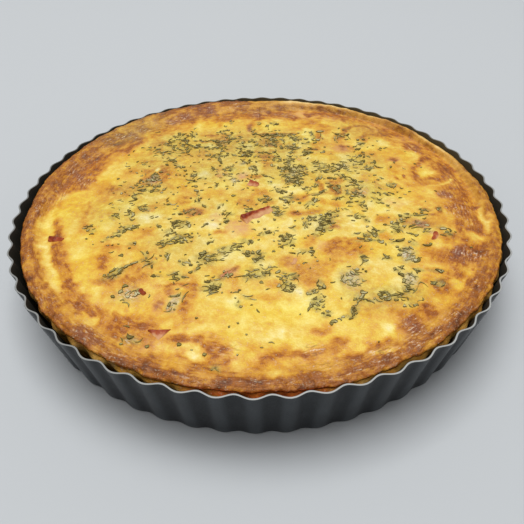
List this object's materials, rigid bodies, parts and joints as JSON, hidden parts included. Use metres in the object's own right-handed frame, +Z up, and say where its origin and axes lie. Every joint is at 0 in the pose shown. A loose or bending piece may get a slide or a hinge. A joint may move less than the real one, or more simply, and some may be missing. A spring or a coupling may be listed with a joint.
{
  "type": "quiche in a fluted tin",
  "caption": "Round baked quiche with a browned custard filling, ham and herbs in a pastry case, standing in its dark fluted metal tin.",
  "frame": {"origin": "middle of the tin's flat underside, on the ground", "axes": "+Z up; -Y is the front of the quiche, +X is to its right seen from the front"},
  "size_m": [0.2798, 0.2798, 0.0394],
  "materials": {
    "tin": "dark grey non-stick coating, fine satin speckle, bare bright cut edge at the rim",
    "pastry": "baked shortcrust pastry, golden to brown, dry and slightly rough",
    "custard": "baked egg and cheese custard, yellow with browned, lightly glossy patches",
    "ham": "cooked ham, pink with dark red browned edges, moist",
    "herbs": "dried green herb leaves, matte"
  },
  "bodies": {
    "root": {"tin": "tin", "crust": "pastry", "filling": "custard", "ham_centre": "ham", "ham_back": "ham", "ham_near": "ham", "ham_mid": "ham", "ham_front": "ham", "ham_left": "ham", "ham_right": "ham", "ham_low": "ham"}
  },
  "joints": []
}
